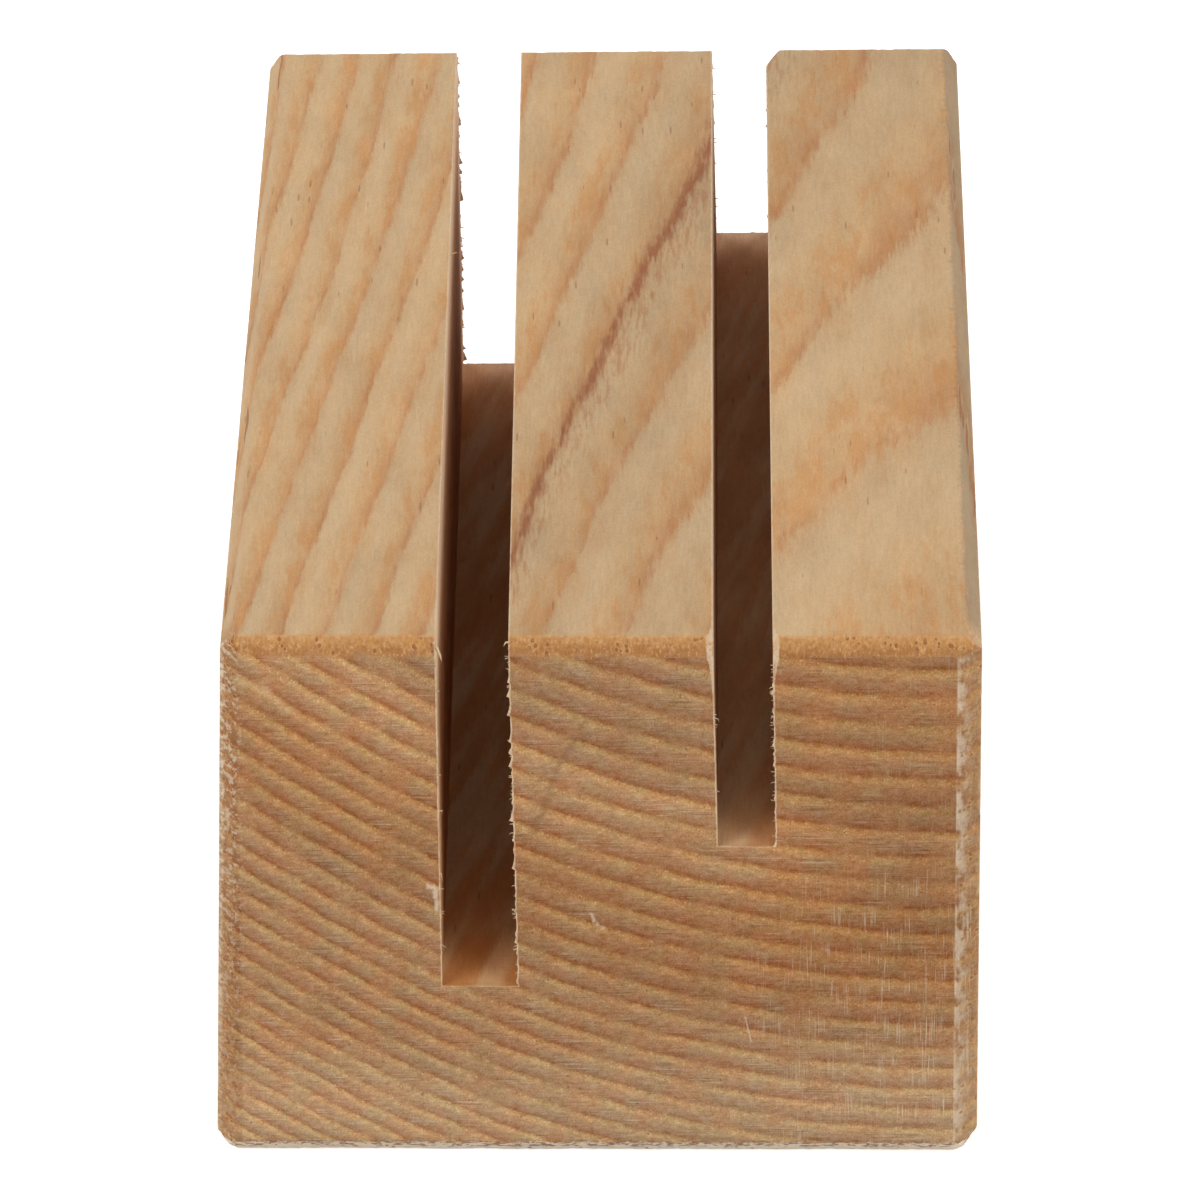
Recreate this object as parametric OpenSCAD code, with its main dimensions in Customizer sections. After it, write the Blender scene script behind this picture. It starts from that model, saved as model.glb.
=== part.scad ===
// A solid wooden block that holds place cards upright.
// Two saw cuts run its whole length, one deep and one shallow, and leave three fingers.
// The origin is at the centre of the base. The slots run along Y and the deep slot is on the -X side.
// The front end, at -Y, is square to the length. The back end was sawn slightly askew.

/* [Block] */
// Width across the top, between the two side faces
block_w = 40; // [36:0.5:60]
// Length of the longer side, along the slots
block_length = 85; // [50:1:160]
// Height
block_h = 30; // [26:0.5:45]
// How far the left side face leans out from the top to the base
side_offset = 0.55; // [0:0.05:1]
// Angle by which the back end is off square, in degrees
back_end_skew = 1.5; // [0:0.1:3]

/* [Chamfers] */
// Chamfer on the two long top edges
top_side_chamfer = 0.8; // [0.3:0.1:2]
// Chamfer on the top edge of each end face
top_end_chamfer = 0.75; // [0.3:0.05:2]
// Chamfer on the four upright edges
upright_chamfer = 1.1; // [0.3:0.1:2]
// Chamfer on the two long base edges
base_side_chamfer = 1.2; // [0.3:0.1:2]
// Chamfer on the base edge of each end face
base_end_chamfer = 0.8; // [0.3:0.1:2]

/* [Slots] */
// Angle by which both saw cuts lean off upright, in degrees
slot_lean = 1.1; // [0:0.1:3]

/* [Deep slot] */
// Width of the saw cut
deep_slot_w = 3.85; // [1:0.05:4.5]
// Depth below the top face
deep_slot_d = 20; // [8:0.5:22]
// Width of the outer finger beside it, at the front end of the top face
deep_finger_w = 11.3; // [6:0.05:12]
// Angle by which the saw cut runs off the block's length, in degrees
deep_slot_skew = 0.3; // [0:0.05:1]

/* [Shallow slot] */
// Width of the saw cut
shallow_slot_w = 3.15; // [1:0.05:4.5]
// Depth below the top face
shallow_slot_d = 11.8; // [4:0.1:22]
// Width of the outer finger beside it, at the front end of the top face
shallow_finger_w = 11; // [6:0.05:12]
// Angle by which the saw cut runs off the block's length, in degrees
shallow_slot_skew = 0.1; // [0:0.05:1]

/* [Hidden] */

// How far a cut runs past the faces that it opens
overrun = 3;
base_w = block_w + side_offset;
side_angle = atan(side_offset / block_h);
// The right side face stands upright, so its place is the same at the top and at the base
right_x = base_w / 2;
deep_slot_x = right_x - block_w + deep_finger_w;
shallow_slot_x = right_x - shallow_finger_w - shallow_slot_w;

// Where the left side face is at a height above the base
function left_x_at(z) = -right_x + side_offset * z / block_h;

// Cross-section of the bar that the block is cut from, seen from its end
module bar_profile() {
    polygon([
        [base_side_chamfer - right_x, 0],
        [right_x - base_side_chamfer, 0],
        [right_x, base_side_chamfer],
        [right_x, block_h - top_side_chamfer],
        [right_x - top_side_chamfer, block_h],
        [left_x_at(block_h) + top_side_chamfer, block_h],
        [left_x_at(block_h - top_side_chamfer), block_h - top_side_chamfer],
        [left_x_at(base_side_chamfer), base_side_chamfer]
    ]);
}

module bar() {
    rotate([90, 0, 0])
        linear_extrude(height = block_length, center = true)
            bar_profile();
}

// A square rod that lies on its edge along Z, centred on the edge that it chamfers
module edge_cut(chamfer, edge_length) {
    rod_w = chamfer * sqrt(2);
    rotate([0, 0, 45])
        cube([rod_w, rod_w, edge_length + 2 * overrun], center = true);
}

// What is cut away to make one end: all beyond the plane y = 0, and the chamfers round that face
module end_cut() {
    translate([-right_x - overrun, 0, -overrun])
        cube([base_w + 2 * overrun, 2 * overrun, block_h + 2 * overrun]);
    translate([0, 0, block_h])
        rotate([0, 90, 0])
            edge_cut(top_end_chamfer, base_w);
    rotate([0, 90, 0])
        edge_cut(base_end_chamfer, base_w);
    translate([right_x, 0, block_h / 2])
        edge_cut(upright_chamfer, block_h);
    translate([left_x_at(block_h / 2), 0, block_h / 2])
        rotate([0, side_angle, 0])
            edge_cut(upright_chamfer, block_h);
}

module front_end_cut() {
    translate([0, -block_length / 2, 0])
        mirror([0, 1, 0])
            end_cut();
}

// The back end turns about its right-hand edge, where the block is longest
module back_end_cut() {
    translate([right_x, block_length / 2, 0])
        rotate([0, 0, back_end_skew])
            translate([-right_x, 0, 0])
                end_cut();
}

// One saw cut. x is where its left wall meets the front end of the top face
module saw_cut(x, width, depth, skew) {
    translate([x, -block_length / 2, block_h])
        rotate([0, -slot_lean, skew])
            translate([0, -overrun, -depth])
                cube([width, block_length + 2 * overrun, depth + overrun]);
}

module block() {
    color("burlywood")
        difference() {
            bar();
            front_end_cut();
            back_end_cut();
            saw_cut(deep_slot_x, deep_slot_w, deep_slot_d, deep_slot_skew);
            saw_cut(shallow_slot_x, shallow_slot_w, shallow_slot_d, shallow_slot_skew);
        }
}

block();
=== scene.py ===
"""A wooden place card block: one bar of ash with a deep and a shallow saw cut along it.

The block's faces, chamfers, torn slot edges and chips are one modelled mesh. The wood is one solid
material: growth rings, vessels and fibres run through the block, so each face shows its own cut of them.
"""

import math
import random

import bmesh
import bpy
import numpy as np
from mathutils import Euler, Matrix, Vector, noise
from mathutils.geometry import delaunay_2d_cdt


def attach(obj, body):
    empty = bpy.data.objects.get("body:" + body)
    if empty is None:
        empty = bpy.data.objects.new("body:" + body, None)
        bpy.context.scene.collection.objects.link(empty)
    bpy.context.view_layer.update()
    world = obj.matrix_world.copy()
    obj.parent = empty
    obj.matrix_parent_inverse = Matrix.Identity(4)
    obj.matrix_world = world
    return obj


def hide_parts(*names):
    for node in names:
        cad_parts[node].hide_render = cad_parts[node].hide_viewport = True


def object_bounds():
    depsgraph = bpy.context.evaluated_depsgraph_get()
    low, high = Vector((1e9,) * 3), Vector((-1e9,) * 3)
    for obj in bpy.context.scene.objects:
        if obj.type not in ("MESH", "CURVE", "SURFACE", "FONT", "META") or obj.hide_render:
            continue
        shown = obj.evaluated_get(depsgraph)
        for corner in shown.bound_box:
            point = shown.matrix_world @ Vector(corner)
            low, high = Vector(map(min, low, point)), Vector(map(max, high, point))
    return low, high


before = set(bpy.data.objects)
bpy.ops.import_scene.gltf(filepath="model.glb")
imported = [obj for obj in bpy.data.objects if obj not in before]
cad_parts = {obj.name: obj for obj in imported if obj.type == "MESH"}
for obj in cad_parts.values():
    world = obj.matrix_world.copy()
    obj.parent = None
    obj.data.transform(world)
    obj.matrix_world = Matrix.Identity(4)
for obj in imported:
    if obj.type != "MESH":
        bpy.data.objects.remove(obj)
cad_low, cad_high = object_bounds()

# Every length below is in millimetres, and MM turns it into metres
MM = 0.001
# Slack when places are compared
SLACK = 1e-6

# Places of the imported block's faces
RIGHT = cad_high.x / MM
FRONT = cad_low.y / MM
TOP = cad_high.z / MM
BACK = -FRONT
LENGTH = BACK - FRONT
SIDE_OFFSET = 0.55
BACK_SKEW = math.radians(1.5)
DEEP_FLOOR = 10.0
SHALLOW_FLOOR = 18.2

# The upright faces from left to right: x at the front end of the top face, and how far the face
# moves to the right per millimetre down and per millimetre back
FACES = (
    (SIDE_OFFSET - RIGHT, -SIDE_OFFSET / TOP, 0.0),
    (-8.40, 0.0115, -0.0054),
    (-4.59, 0.0220, -0.0063),
    (6.13, 0.0250, -0.0016),
    (9.27, 0.0185, -0.0016),
    (RIGHT, 0.0, 0.0),
)
SECTION = [face[0] for face in FACES]
FINGERS = ((0, 1), (2, 3), (4, 5))
SLOTS = ((1, 2, DEEP_FLOOR), (3, 4, SHALLOW_FLOOR))

# Widths of the chamfers
TOP_SIDE_CHAMFER = 0.78
TOP_END_CHAMFER = 0.75
FRONT_LEFT_CHAMFER = 0.95
FRONT_RIGHT_CHAMFER = 1.12
BACK_UPRIGHT_CHAMFER = 1.1
BASE_SIDE_CHAMFER = 1.15
BASE_END_CHAMFER = 0.78
# How much their widths change, over what lengths, and how far their borders are rounded
CHAMFER_WAVE = 0.08
CHAMFER_WAVE_LENGTHS = (9, 1.3)
CHAMFER_SOFTNESS = 0.06

ACROSS, ALONG, UP = 0, 1, 2

# Spacing of the rows of points right beside a chamfer's border, and where rows lie, counted in it
ROW_GAP = 0.09
ROW_PLACES = (-2, -1, 0, 1, 2, 7, 15)


def chamfer_rows(width):
    """Distances from an edge at which rows of points follow a chamfer of about this width."""
    return (width / 2, *(width + place * ROW_GAP for place in ROW_PLACES))


# Rows of points beside each kind of edge, and the spacing of points along it
ROWS = {
    "narrow": chamfer_rows(TOP_SIDE_CHAMFER),
    "wide": chamfer_rows(FRONT_RIGHT_CHAMFER),
    "slot": (0.05, 0.12, 0.24, 0.42, 0.8, 1.5),
    "lip": (0.04, 0.09, 0.15, 0.24, 0.42, 0.8, 1.5),
    "inner": (0.3, 1.2),
}
STEP = {"narrow": 0.35, "wide": 0.4, "slot": 0.2, "lip": 0.09, "inner": 1.2}
# Spacing of the points away from the edges, and how far from the edges they begin
FILL_STEP = 1.7
FILL_MARGIN = 2.7
# Asks for triangles inside the outline only
INSIDE = 1


def edge_kind(corner, axis):
    """The kind of the edge that leaves a corner of the block along an axis."""
    x, _, z = corner
    outer = x in (SECTION[0], SECTION[-1])
    if axis == ALONG and z == 0:
        return "wide"
    if axis == ALONG and z == TOP:
        return "narrow" if outer else "slot"
    if axis == ALONG:
        return "inner"
    if axis == ACROSS:
        return "narrow" if z in (0, TOP) else "lip"
    return "wide" if outer else "lip"


def places(start_rows, end_rows, length, step):
    """Places along a line: at the rows near both ends, and evenly between them."""
    stops = [0, *start_rows, *(length - row for row in end_rows), length]
    stops = sorted({round(stop, 5) for stop in stops if 0 <= stop <= length})
    filled = [0.0]
    for low, high in zip(stops, stops[1:]):
        count = math.ceil((high - low) / step)
        filled.extend(low + (high - low) * i / count for i in range(1, count + 1))
    return np.array(filled)


def rows_at(corner, axis):
    """The rows that both faces beside an edge need near a corner."""
    kinds = {edge_kind(corner, other) for other in range(3) if other != axis}
    return sorted({row for kind in kinds for row in ROWS[kind]})


class FlatFace:
    """One flat face of the block before wear: a loop of corners in the two axes of its plane."""

    def __init__(self, axis, sign, at, loop, sawn=False):
        self.axis = axis
        self.at = at
        self.corners = loop
        self.loop = [Vector(corner) for corner in loop]
        self.plane = [other for other in range(3) if other != axis]
        self.flip = (sign < 0) != (axis == ALONG)
        self.sawn = sawn

    def corner(self, index):
        spot = list(self.corners[index % len(self.loop)])
        spot.insert(self.axis, self.at)
        return tuple(spot)

    def edge(self, index):
        """Start, direction, length, axis and kind of the edge after a corner."""
        start = self.loop[index % len(self.loop)]
        along = self.loop[(index + 1) % len(self.loop)] - start
        axis = self.plane[0] if abs(along.x) > abs(along.y) else self.plane[1]
        return start, along.normalized(), along.length, axis, edge_kind(self.corner(index), axis)

    def outline(self):
        """The points on the face's edges, which its neighbours share."""
        points = []
        for index in range(len(self.loop)):
            start, along, length, axis, kind = self.edge(index)
            ends = [rows_at(self.corner(index), axis), rows_at(self.corner(index + 1), axis)]
            forward = max(along) > 0.5
            if not forward:
                ends.reverse()
            spots = places(*ends, length, STEP[kind])
            spots = spots[:-1] if forward else (length - spots)[:0:-1]
            points.extend(start + along * float(spot) for spot in spots)
        return points

    def convex(self, index):
        before, after = self.edge(index - 1)[1], self.edge(index)[1]
        return before.x * after.y - before.y * after.x > 0

    def rows(self):
        """Points in rows beside each edge, closer together near it."""
        points = []
        for index in range(len(self.loop)):
            start, along, length, _, kind = self.edge(index)
            inward = Vector((-along.y, along.x))
            opens = self.convex(index)
            closes = self.convex(index + 1)
            start_rows = ROWS[self.edge(index - 1)[4]] if opens else ()
            end_rows = ROWS[self.edge(index + 1)[4]] if closes else ()
            for offset in ROWS[kind]:
                spots = places(start_rows, end_rows, length, max(STEP[kind], offset))
                spots = spots[int(opens):len(spots) - int(closes)]
                points.extend(start + along * float(spot) + inward * offset for spot in spots)
        return points

    def fill(self):
        """An even lattice of points away from the edges."""
        low = np.min(self.loop, axis=0)
        high = np.max(self.loop, axis=0)
        counts = np.maximum(np.round((high - low) / FILL_STEP), 1).astype(int)
        grids = [np.linspace(low[i], high[i], counts[i] + 1) for i in range(2)]
        u, v = (grid.ravel() for grid in np.meshgrid(*grids))
        inside = np.zeros(len(u), bool)
        gap = np.full(len(u), np.inf)
        for index in range(len(self.loop)):
            start, along, length, _, _ = self.edge(index)
            du, dv = u - start.x, v - start.y
            reach = np.clip(du * along.x + dv * along.y, 0, length)
            gap = np.minimum(gap, np.hypot(du - reach * along.x, dv - reach * along.y))
            if abs(along.y) > 0.5:
                low_v, high_v = sorted((start.y, start.y + along.y * length))
                inside ^= (v > low_v) & (v <= high_v) & (u < start.x)
        keep = inside & (gap > FILL_MARGIN)
        return [Vector(point) for point in zip(u[keep], v[keep])]

    def triangles(self):
        """The face's points in the block's axes, and its triangles."""
        outline = self.outline()
        seen = {(round(p.x, 3), round(p.y, 3)) for p in outline}
        points = list(outline)
        for point in self.rows() + self.fill():
            key = (round(point.x, 3), round(point.y, 3))
            if key not in seen:
                seen.add(key)
                points.append(point)
        found, _, faces = delaunay_2d_cdt(points, [], [list(range(len(outline)))], INSIDE, SLACK)[:3]
        spots = np.zeros((len(found), 3))
        spots[:, self.axis] = self.at
        spots[:, self.plane] = [tuple(point) for point in found]
        faces = np.array(faces)
        return spots, faces[:, ::-1] if self.flip else faces


def rectangle(low, high):
    return [low, (high[0], low[1]), high, (low[0], high[1])]


def flat_faces():
    """Every flat face of the block before wear. y counts from the front end here."""
    x = SECTION
    comb = [(x[0], 0), (x[5], 0)]
    for left, right, floor in reversed(SLOTS):
        comb += [(x[right + 1], TOP), (x[right], TOP), (x[right], floor), (x[left], floor)]
    comb += [(x[1], TOP), (x[0], TOP)]
    faces = [
        FlatFace(ALONG, -1, 0, comb),
        FlatFace(ALONG, 1, LENGTH, comb),
        FlatFace(UP, -1, 0, rectangle((x[0], 0), (x[5], LENGTH))),
        FlatFace(ACROSS, -1, x[0], rectangle((0, 0), (LENGTH, TOP))),
        FlatFace(ACROSS, 1, x[5], rectangle((0, 0), (LENGTH, TOP))),
    ]
    for left, right in FINGERS:
        faces.append(FlatFace(UP, 1, TOP, rectangle((x[left], 0), (x[right], LENGTH))))
    for left, right, floor in SLOTS:
        wall = rectangle((0, floor), (LENGTH, TOP))
        faces.append(FlatFace(UP, 1, floor, rectangle((x[left], 0), (x[right], LENGTH)), sawn=True))
        faces.append(FlatFace(ACROSS, 1, x[left], wall, sawn=True))
        faces.append(FlatFace(ACROSS, -1, x[right], wall, sawn=True))
    return faces


# Keeps a length that ends in half a micrometre from being rounded both up and down
ROUNDING_SHIFT = 0.00023


def weld(faces):
    """Joins the faces into one closed mesh: its points, its triangles, and which points are sawn."""
    parts = [face.triangles() for face in faces]
    counts = [len(points) for points, _ in parts]
    starts = np.cumsum([0, *counts[:-1]])
    spots = np.concatenate([points for points, _ in parts])
    triangles = np.concatenate([corners + start for (_, corners), start in zip(parts, starts)])
    sawn = np.repeat([float(face.sawn) for face in faces], counts)
    _, first, index = np.unique(np.round(spots + ROUNDING_SHIFT, 3), axis=0, return_index=True,
                                return_inverse=True)
    index = index.ravel()
    inner = np.ones(len(first))
    np.minimum.at(inner, index, sawn)
    return spots[first], index[triangles], inner


def wave(values, size, seed):
    """Smooth noise from -1 to 1 along a line."""
    stops, index = np.unique(np.round(values, 2), return_inverse=True)
    heights = np.array([noise.noise(Vector((stop / size, seed * 7.3, seed * 1.7))) for stop in stops])
    return heights[index.ravel()]


def face_x(number, down, back):
    at, lean, skew = FACES[number]
    return at + lean * down + skew * back


def stand(ideal):
    """Moves the points of the square-cut block to where the leaning faces put them."""
    x, y, z = ideal.T
    edges = np.array(SECTION)
    span = np.clip(np.searchsorted(edges, x, side="right") - 1, 0, len(edges) - 2)
    walls = np.array([face_x(number, TOP - z, y) for number in range(len(FACES))])
    each = np.arange(len(x))
    share = (x - edges[span]) / (edges[span + 1] - edges[span])
    real_x = walls[span, each] * (1 - share) + walls[span + 1, each] * share
    back = BACK - (RIGHT - real_x) * math.tan(BACK_SKEW)
    real_y = FRONT + y * (back - FRONT) / LENGTH
    return np.stack([real_x, real_y, z], axis=1)


# Wear on the sharp edges of the slots: how wide they are broken, how much that width changes and over
# what length on level and on upright edges, and how far pale wood shows beside it
EDGE_BREAK = 0.05
BREAK_CHANGE = 0.6, 0.5
BREAK_LENGTH = 0.7, 0.5
PALE_REACH = 0.06
# The front top corners beside the shallow slot are worn more: how much, and how far from them
CORNER_WEAR = 0.33
CORNER_WEAR_REACH = 1.5
# Torn fibres: over what distance they die away from an edge, how far they stand out from each slot
# wall's upright edge, at its front and at its back, and from a floor's edge, and how long each tooth is
BURR_REACH = 0.07
BURRS = {1: (0.05, 0.26), 2: (0.22, 0.14), 3: (0.05, 0.1), 4: (0.24, 0.14)}
FLOOR_BURR = 0.08
TOOTH = 0.9
# Wear reaches this far into the wood beside a slot
WEAR_REACH = 3.0


def break_edge(points, gap, width, sides):
    """Cuts a sharp edge to a narrow slope. Returns how much each point shows the pale wood there."""
    depth = np.maximum(width - gap, 0) / 2
    for axis, side in sides:
        points[:, axis] -= side * depth
    return np.clip((width + PALE_REACH - gap) / PALE_REACH, 0, 1)


def edge_width(along, upright, seed):
    """The width to which a slot's edge is broken: a level edge's, or an upright one's."""
    return EDGE_BREAK * (1 + BREAK_CHANGE[upright] * wave(along, BREAK_LENGTH[upright], seed))


def teeth(along, seed):
    """How far fibres torn by the saw stand out along an edge, from 0 to about 1: uneven scallops."""
    phase = 1.2 * wave(along, 1.7, seed) - along / TOOTH
    share = phase % 1
    size = np.clip(0.5 + 1.4 * wave(np.floor(phase), 0.37, seed), 0.1, 1)
    return size * share ** 2 + 0.5 * np.clip(wave(along, 0.22, seed + 0.4), 0, 1)


def corner_wear(floor, distance):
    """The extra width of the broken edge near the worn front corners of the shallow slot."""
    return np.exp(-((distance / CORNER_WEAR_REACH) ** 2)) * (CORNER_WEAR if floor == SHALLOW_FLOOR else 0)


def wear_wall(points, ideal, number, side, floor):
    """Wears the top edge and the upright edges of one slot wall."""
    x, y, z = ideal.T
    inward = side * (SECTION[number] - x)
    beside = (inward > -SLACK) & (inward < WEAR_REACH) & (z > floor - SLACK)
    inward = np.where(beside, inward, np.inf)
    down = TOP - z
    width = edge_width(y, 0, number) + corner_wear(floor, y)
    pale = break_edge(points, inward + down, width, ((ACROSS, side), (UP, 1))) * 0.8
    for end, away, burr in ((-1, y, BURRS[number][0]), (1, LENGTH - y, BURRS[number][1])):
        width = edge_width(z, 1, number + 10)
        if end < 0:
            width = width + corner_wear(floor, down)
        pale = np.maximum(pale, break_edge(points, inward + away, width, ((ACROSS, side), (ALONG, end))))
        height = burr * teeth(z, number + 20 * end)
        points[:, ACROSS] += side * height * np.exp(-(inward + away) / BURR_REACH)
    return pale


def wear_slots(points, ideal):
    """Breaks the slots' sharp edges and raises torn fibres along them. Returns how frayed each point is."""
    x, y, z = ideal.T
    frayed = np.zeros(len(points))
    for left, right, floor in SLOTS:
        for number, side in ((left, 1), (right, -1)):
            frayed = np.maximum(frayed, wear_wall(points, ideal, number, side, floor))
        between_walls = (x > SECTION[left] - SLACK) & (x < SECTION[right] + SLACK) & (z < floor + SLACK)
        for end, away in ((-1, y), (1, LENGTH - y)):
            gap = np.where(between_walls, away + floor - z, np.inf)
            pale = break_edge(points, gap, EDGE_BREAK, ((UP, 1), (ALONG, end)))
            frayed = np.maximum(frayed, pale * 0.5)
            points[:, UP] += FLOOR_BURR * teeth(x, end + left) * np.exp(-gap / BURR_REACH)
    return frayed


def outer_planes():
    """Unit normal and distance of each outer face."""
    lean = Vector((-1, 0, SIDE_OFFSET / TOP))
    skew = Vector((-math.tan(BACK_SKEW), 1, 0))
    return {
        "left": (np.array(lean.normalized()), RIGHT / lean.length),
        "right": (np.array((1.0, 0, 0)), RIGHT),
        "front": (np.array((0, -1.0, 0)), -FRONT),
        "back": (np.array(skew.normalized()), (BACK - RIGHT * math.tan(BACK_SKEW)) / skew.length),
        "top": (np.array((0, 0, 1.0)), TOP),
        "base": (np.array((0, 0, -1.0)), 0.0),
    }


CHAMFERS = (
    ("left", "top", TOP_SIDE_CHAMFER),
    ("right", "top", TOP_SIDE_CHAMFER),
    ("front", "top", TOP_END_CHAMFER),
    ("back", "top", TOP_END_CHAMFER),
    ("front", "left", FRONT_LEFT_CHAMFER),
    ("front", "right", FRONT_RIGHT_CHAMFER),
    ("back", "left", BACK_UPRIGHT_CHAMFER),
    ("back", "right", BACK_UPRIGHT_CHAMFER),
    ("left", "base", BASE_SIDE_CHAMFER),
    ("right", "base", BASE_SIDE_CHAMFER),
    ("front", "base", BASE_END_CHAMFER),
    ("back", "base", BASE_END_CHAMFER),
)
CHAMFER_ROUNDS = 12


def cut_chamfers(points):
    """Moves the points onto the chamfers, which meet cleanly. Returns how much each point is on one."""
    planes = outer_planes()
    cuts = []
    for number, (one, other, width) in enumerate(CHAMFERS):
        normal = planes[one][0] + planes[other][0]
        size = np.linalg.norm(normal)
        along = points @ np.cross(planes[one][0], planes[other][0])
        waves = sum(wave(along, span, number + i / 2) for i, span in enumerate(CHAMFER_WAVE_LENGTHS))
        widths = width * (1 + CHAMFER_WAVE * waves)
        limit = (planes[one][1] + planes[other][1] - widths) / size
        cuts.append((normal / size, limit))
    start = points.copy()
    debts = [np.zeros_like(points) for _ in cuts]
    for _ in range(CHAMFER_ROUNDS):
        for debt, (normal, limit) in zip(debts, cuts):
            moved = points + debt
            over = np.maximum(moved @ normal - limit, 0)
            points = moved - over[:, None] * normal
            debt[:] = moved - points
    worn = np.zeros(len(points))
    for normal, limit in cuts:
        over = start @ normal - limit
        soft = (np.clip(over, -CHAMFER_SOFTNESS, CHAMFER_SOFTNESS) + CHAMFER_SOFTNESS) ** 2
        extra = soft / (4 * CHAMFER_SOFTNESS) - np.clip(over, 0, CHAMFER_SOFTNESS)
        points = points - extra[:, None] * normal
        worn = np.maximum(worn, np.clip(over / (2 * CHAMFER_SOFTNESS) + 0.5, 0, 1))
    return points, worn


# The splintered back corner of the right finger: three places on its slope, how far it may reach along
# and down, and how rough it is, over what length
CHIP = np.array(((10.1, 42.3, TOP), (9.0, 38.4, TOP), (9.0, 42.3, 28.3)))
CHIP_LENGTH = 8
CHIP_DEPTH = 6.8
CHIP_ROUGHNESS = 0.05
CHIP_GRAIN = 0.4


def knock_off_corner(points, ideal):
    """Cuts the chip off the right finger, beside the shallow slot."""
    normal = np.cross(CHIP[2] - CHIP[0], CHIP[1] - CHIP[0])
    normal /= np.linalg.norm(normal)
    if normal[UP] < 0:
        normal = -normal
    x, y, z = ideal.T
    nearby = (x > SECTION[4] - SLACK) & (y > LENGTH - CHIP_LENGTH) & (z > TOP - CHIP_DEPTH)
    ragged = CHIP_ROUGHNESS * wave(points[:, ALONG] + points[:, UP], CHIP_GRAIN, 3)
    over = np.where(nearby, np.maximum(points @ normal - CHIP[0] @ normal + ragged, 0), 0)
    return points - over[:, None] * normal


def inside_cad(points):
    """The points, moved into the CAD model's box where they lie outside it."""
    return np.clip(points, np.array(cad_low) / MM, np.array(cad_high) / MM)


def add_object(name, data):
    added = bpy.data.objects.new(name, data)
    bpy.context.scene.collection.objects.link(added)
    return added


def add_mesh(name, points, faces, material):
    mesh = bpy.data.meshes.new(name)
    mesh.from_pydata((points * MM).tolist(), [], [list(map(int, face)) for face in faces])
    mesh.materials.append(material)
    mesh.shade_smooth()
    return add_object(name, mesh)


def add_attribute(piece, name, values):
    attribute = piece.data.attributes.new(name, "FLOAT", "POINT")
    attribute.data.foreach_set("value", values.astype(np.float32))


SHARP_ANGLE = math.radians(28)
# Points closer together than this are joined
JOIN_REACH = 0.004


def join_close_points(mesh):
    """Joins the points that the chamfers brought together at the block's corners."""
    shape = bmesh.new()
    shape.from_mesh(mesh)
    bmesh.ops.remove_doubles(shape, verts=shape.verts, dist=JOIN_REACH * MM)
    shape.to_mesh(mesh)
    shape.free()


def make_block(material):
    ideal, triangles, sawn = weld(flat_faces())
    points = stand(ideal)
    frayed = wear_slots(points, ideal)
    points, worn = cut_chamfers(points)
    points = inside_cad(knock_off_corner(points, ideal))
    piece = add_mesh("wood_block", points, triangles, material)
    add_attribute(piece, "sawn", sawn)
    add_attribute(piece, "frayed", frayed)
    add_attribute(piece, "worn", worn)
    join_close_points(piece.data)
    piece.data.set_sharp_from_angle(angle=SHARP_ANGLE)
    return piece


# Splinters on the slots' edges: places along each, across, back from the front end and up, then its
# width and its thickness
SPLINTERS = (
    (((-8.74, 0.8, 29.72), (-8.54, 0.5, 29.7), (-8.32, 0.3, 29.5), (-8.16, 0.2, 29.15),
      (-8.05, 0.14, 28.72)), 0.3, 0.1),
    (((-8.36, 0.14, 16.7), (-8.2, 0.09, 16.52), (-8.1, 0.08, 16.1)), 0.13, 0.07),
    (((-8.32, 0.12, 12.46), (-8.1, 0.09, 12.33), (-7.9, 0.08, 12.2)), 0.09, 0.06),
    (((-8.74, 53.0, 29.9), (-8.4, 53.2, 29.95), (-8.05, 53.4, 29.9)), 0.08, 0.06),
    (((6.42, 0.12, 18.14), (6.95, 0.07, 18.2), (7.5, 0.08, 18.16)), 0.13, 0.1),
    (((-4.5, 0.5, 29.8), (-4.72, 0.35, 29.85), (-4.86, 0.3, 29.6)), 0.16, 0.08),
)
# Runs of fine loose fibres on the slot walls' upright edges: which wall, whether at the back end, from
# and to what height, and how many
FUZZ = (
    (2, False, 10.5, 29.2, 44),
    (4, False, 18.6, 29.0, 30),
    (1, False, 11.0, 29.0, 8),
    (3, False, 19.0, 28.5, 6),
    (1, True, 11.0, 29.2, 26),
    (3, True, 19.0, 29.0, 8),
)
FUZZ_SEED = 11
FUZZ_LENGTH = (0.1, 0.34)
FUZZ_WIDTH = (0.04, 0.08)
FUZZ_BEND = (-0.9, 0.4)
FUZZ_TURN = (-0.03, 0.03)
ROOT_DEPTH = 0.07
ROOT_AWAY = (0.05, 0.12)


def splinter(path, width, thickness):
    """Points and faces of a closed sliver along a path, widest at its root and pointed at its tip."""
    path = [Vector(place) for place in path]
    sections = len(path) - 1
    points, faces = [], [[3, 2, 1, 0]]
    for index in range(sections):
        along = path[index + 1] - path[max(index - 1, 0)]
        side = along.cross(Vector((0, 1, 0))).normalized()
        other = along.cross(side).normalized()
        share = 1 - index / len(path)
        for offset in (side * width, other * thickness, -side * width, -other * thickness):
            points.append(path[index] + offset * share / 2)
    points.append(path[-1])
    for section in range(sections - 1):
        for corner in range(4):
            first, second = section * 4 + corner, section * 4 + (corner + 1) % 4
            faces.append([first, second, second + 4, first + 4])
    last = (sections - 1) * 4
    faces.extend([last + corner, last + (corner + 1) % 4, len(points) - 1] for corner in range(4))
    return points, faces


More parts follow.
